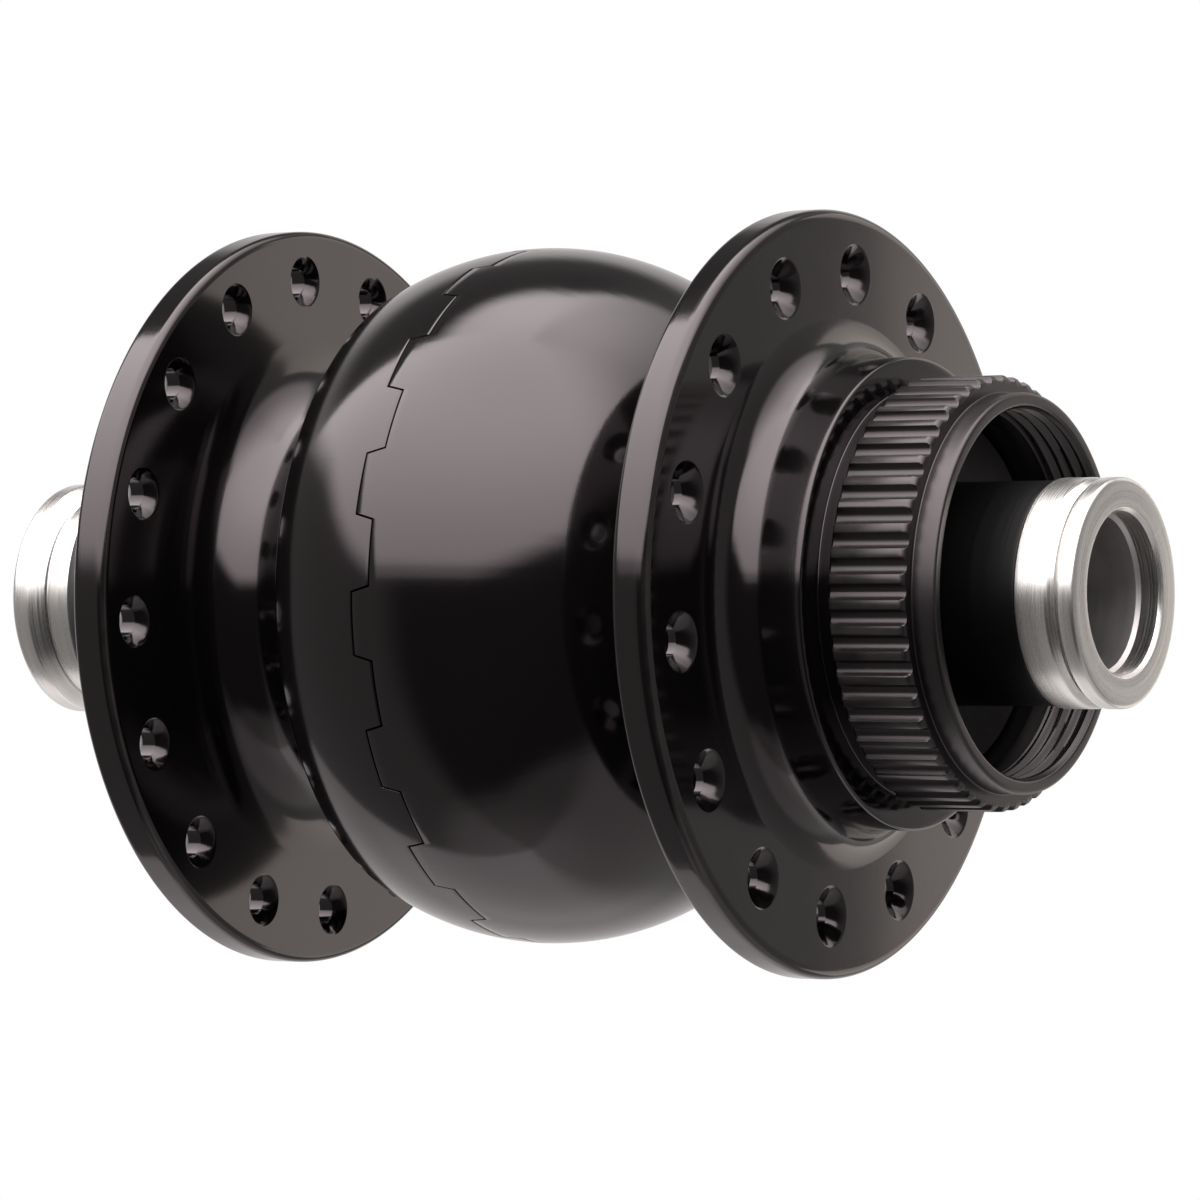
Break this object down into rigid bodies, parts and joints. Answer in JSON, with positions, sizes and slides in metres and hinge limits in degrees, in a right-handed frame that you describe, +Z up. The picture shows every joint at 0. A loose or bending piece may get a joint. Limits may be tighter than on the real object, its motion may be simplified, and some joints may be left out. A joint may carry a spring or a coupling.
{
  "type": "bicycle generator hub",
  "caption": "Front bicycle hub with a crowned barrel, two drilled spoke flanges, a splined brake-disc mount, steel end caps and a claw-pole generator inside.",
  "frame": {"origin": "on the hub axis, midway between the two faces that the fork dropouts clamp", "axes": "+Y along the hub axis towards the brake-disc side, +Z up, the two electrical terminals point towards -X"},
  "size_m": [0.0612, 0.1, 0.0612],
  "materials": {
    "black_anodised": "polished black anodised aluminium",
    "cap_steel": "fine-turned stainless steel",
    "axle_steel": "ground steel",
    "bearing_steel": "polished bearing steel",
    "black_sleeve": "satin black anodised",
    "black_plastic": "moulded glass-filled nylon",
    "black_rubber": "nitrile rubber",
    "cage_polymer": "moulded nylon cage",
    "white_plastic": "moulded coil former",
    "copper_wire": "enamelled copper",
    "soft_iron": "bare pressed soft iron",
    "magnet_nickel": "nickel-plated magnets",
    "spring_steel": "blackened spring steel",
    "zinc_steel": "zinc-plated steel",
    "tinned_brass": "tin-plated brass"
  },
  "bodies": {
    "axle_unit": {"axle": "axle_steel", "end_cap_left": "cap_steel", "end_cap_right": "cap_steel", "end_cap_o_rings": "black_rubber", "sleeve_left": "black_sleeve", "sleeve_right": "black_sleeve", "connector_block": "black_plastic", "terminal_tabs": "tinned_brass", "lead_wires": "copper_wire", "stator_key": "axle_steel", "stator_core": "soft_iron", "claw_plate_left": "soft_iron", "claw_plate_right": "soft_iron", "coil_bobbin": "white_plastic", "coil_winding": "copper_wire", "stator_nut_left": "zinc_steel", "stator_nut_right": "zinc_steel", "bearing_left_inner_race": "bearing_steel", "bearing_right_inner_race": "bearing_steel"},
    "shell_unit": {"shell_left": "black_anodised", "shell_right": "black_anodised", "seam_o_ring": "black_rubber", "magnet_yoke": "soft_iron", "magnets": "magnet_nickel", "circlip_left": "spring_steel", "circlip_right": "spring_steel", "dust_seal_left": "black_rubber", "dust_seal_right": "black_rubber", "bearing_left_outer_race": "bearing_steel", "bearing_left_shields": "black_rubber", "bearing_right_outer_race": "bearing_steel", "bearing_right_shields": "black_rubber"},
    "left_ball_cage": {"bearing_left_cage": "cage_polymer", "bearing_left_balls": "bearing_steel"},
    "right_ball_cage": {"bearing_right_cage": "cage_polymer", "bearing_right_balls": "bearing_steel"}
  },
  "joints": [
    {"name": "shell_spin", "type": "hinge", "parent": "axle_unit", "child": "shell_unit", "pos_m": [0, 0, 0], "axis": [0, 1, 0], "continuous": true},
    {"name": "left_cage_spin", "type": "hinge", "parent": "axle_unit", "child": "left_ball_cage", "pos_m": [0, -0.0279, 0], "axis": [0, 1, 0], "continuous": true},
    {"name": "right_cage_spin", "type": "hinge", "parent": "axle_unit", "child": "right_ball_cage", "pos_m": [0, 0.0279, 0], "axis": [0, 1, 0], "continuous": true}
  ],
  "couplings": [
    {"joint": "left_cage_spin", "follows": "shell_spin", "ratio": 0.593},
    {"joint": "right_cage_spin", "follows": "shell_spin", "ratio": 0.593}
  ]
}
